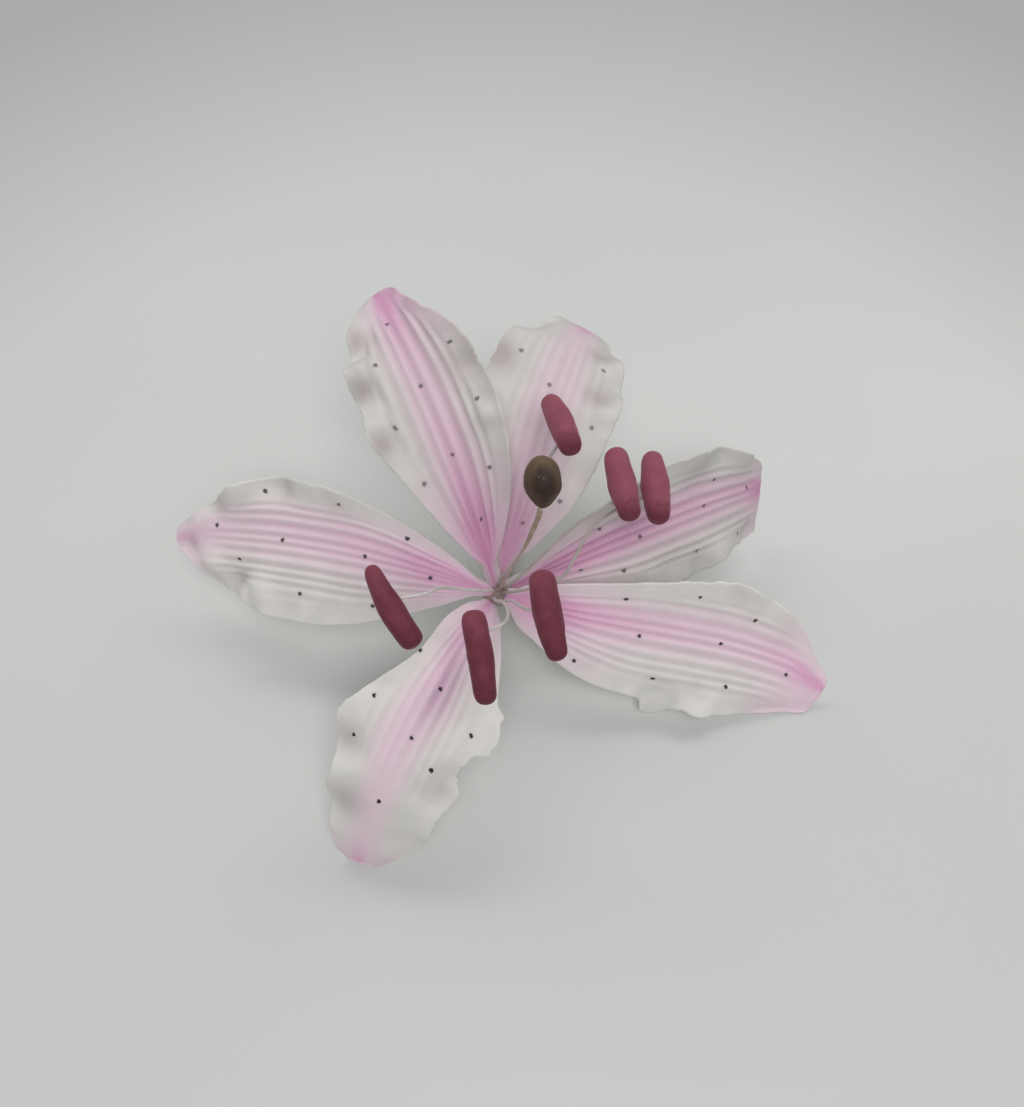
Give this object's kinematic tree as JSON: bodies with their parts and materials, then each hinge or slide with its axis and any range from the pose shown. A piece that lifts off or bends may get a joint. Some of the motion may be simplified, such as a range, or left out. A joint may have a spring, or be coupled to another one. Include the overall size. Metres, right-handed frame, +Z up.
{
  "type": "handmade rubrum lily bloom",
  "caption": "Handmade lily bloom of modelling paste: wired white petals dusted pink, dark red anthers and a brown stigma on covered wires bound into a bent stem.",
  "frame": {"origin": "middle of the footprint on the surface that the bloom lies on", "axes": "+Z up from the surface, +Y towards the stem's cut end and the upper petals, +X towards the right petals as seen in the picture; the bloom faces up and leans towards -Y"},
  "size_m": [0.1382, 0.1102, 0.0647],
  "materials": {
    "petal_paste": "matte white modelling paste with pressed ridges, dusted pink from the base, with dark ink dots",
    "anther_paste": "matte raspberry paste with fine dents",
    "stigma_paste": "satin olive-brown paste",
    "style_paste": "matte tan paste",
    "covered_wire": "steel wire wound in matte white paper",
    "florist_tape": "waxed crepe paper tape, matte"
  },
  "bodies": {
    "root": {"petal_left": "petal_paste", "wire_left": "covered_wire", "petal_upper_left": "petal_paste", "wire_upper_left": "covered_wire", "petal_upper_middle": "petal_paste", "wire_upper_middle": "covered_wire", "petal_right_upper": "petal_paste", "wire_right_upper": "covered_wire", "petal_right": "petal_paste", "wire_right": "covered_wire", "petal_lower_left": "petal_paste", "wire_lower_left": "covered_wire", "filament_left": "covered_wire", "anther_left": "anther_paste", "filament_front_centre": "covered_wire", "anther_front_centre": "anther_paste", "filament_front_right": "covered_wire", "anther_front_right": "anther_paste", "filament_pair_left": "covered_wire", "anther_pair_left": "anther_paste", "filament_pair_right": "covered_wire", "anther_pair_right": "anther_paste", "filament_top": "covered_wire", "anther_top": "anther_paste", "pistil_wire": "covered_wire", "style": "style_paste", "stigma": "stigma_paste", "stem_tape": "florist_tape"}
  },
  "joints": []
}
